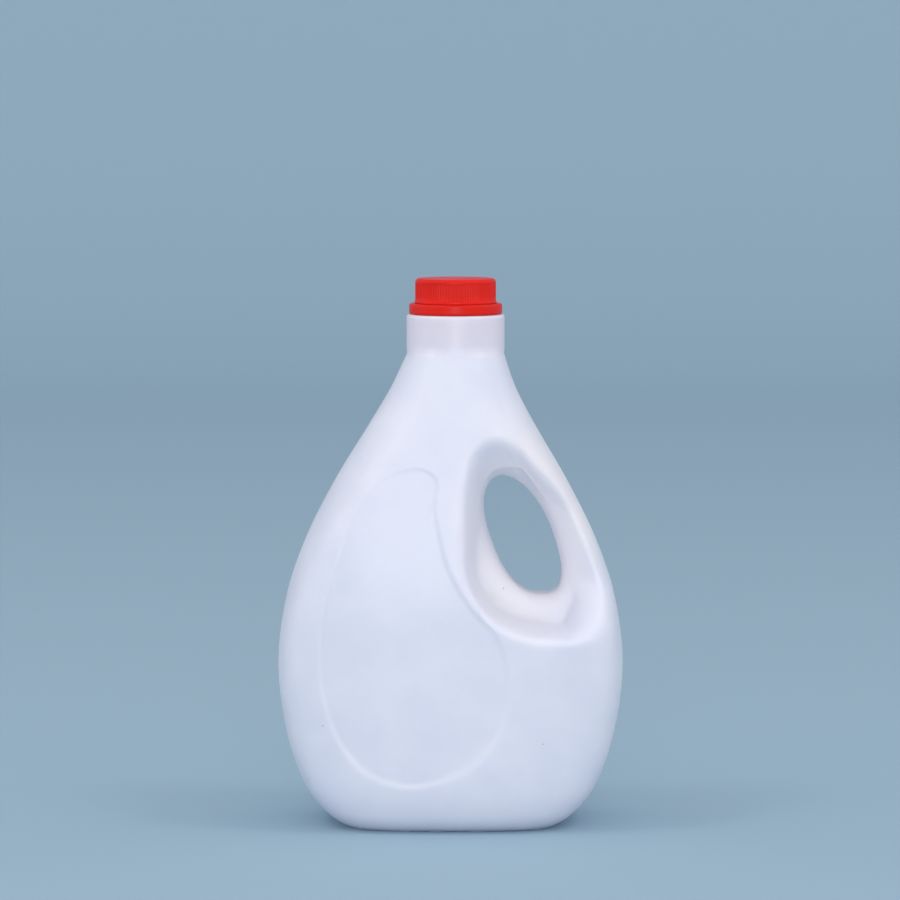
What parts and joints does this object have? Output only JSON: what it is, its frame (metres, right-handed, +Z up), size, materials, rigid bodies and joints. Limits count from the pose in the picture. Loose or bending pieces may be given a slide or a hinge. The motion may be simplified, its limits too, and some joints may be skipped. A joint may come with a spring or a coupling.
{
  "type": "plastic jerrycan",
  "caption": "Drop-shaped blow-moulded plastic bottle with a moulded-through handle, a round collar and a ribbed red screw cap.",
  "frame": {"origin": "on the floor under the middle of the body", "axes": "+Z up along the bottle's height, +X towards the handle, -Y towards the front with the label panel"},
  "size_m": [0.18, 0.1048, 0.285],
  "materials": {
    "bottle_plastic": "translucent natural polyethylene, soft sheen",
    "cap_plastic": "moulded polypropylene, soft gloss",
    "liner_foam": "closed-cell foam"
  },
  "bodies": {
    "bottle_body": {"bottle": "bottle_plastic", "tamper_band": "cap_plastic"},
    "liner_body": {"cap_liner": "liner_foam"},
    "cap_body": {"cap": "cap_plastic"}
  },
  "joints": [
    {"name": "cap_rise", "type": "slide", "parent": "bottle_body", "child": "liner_body", "axis": [0, 0, 1], "range_m": [0, 0.0252]},
    {"name": "cap_turn", "type": "hinge", "parent": "liner_body", "child": "cap_body", "pos_m": [0.0026, 0, 0.2778], "axis": [0, 0, 1], "range_deg": [0, 2150]}
  ],
  "couplings": [
    {"joint": "cap_rise", "follows": "cap_turn", "m_per_rad": 0.00066845}
  ]
}
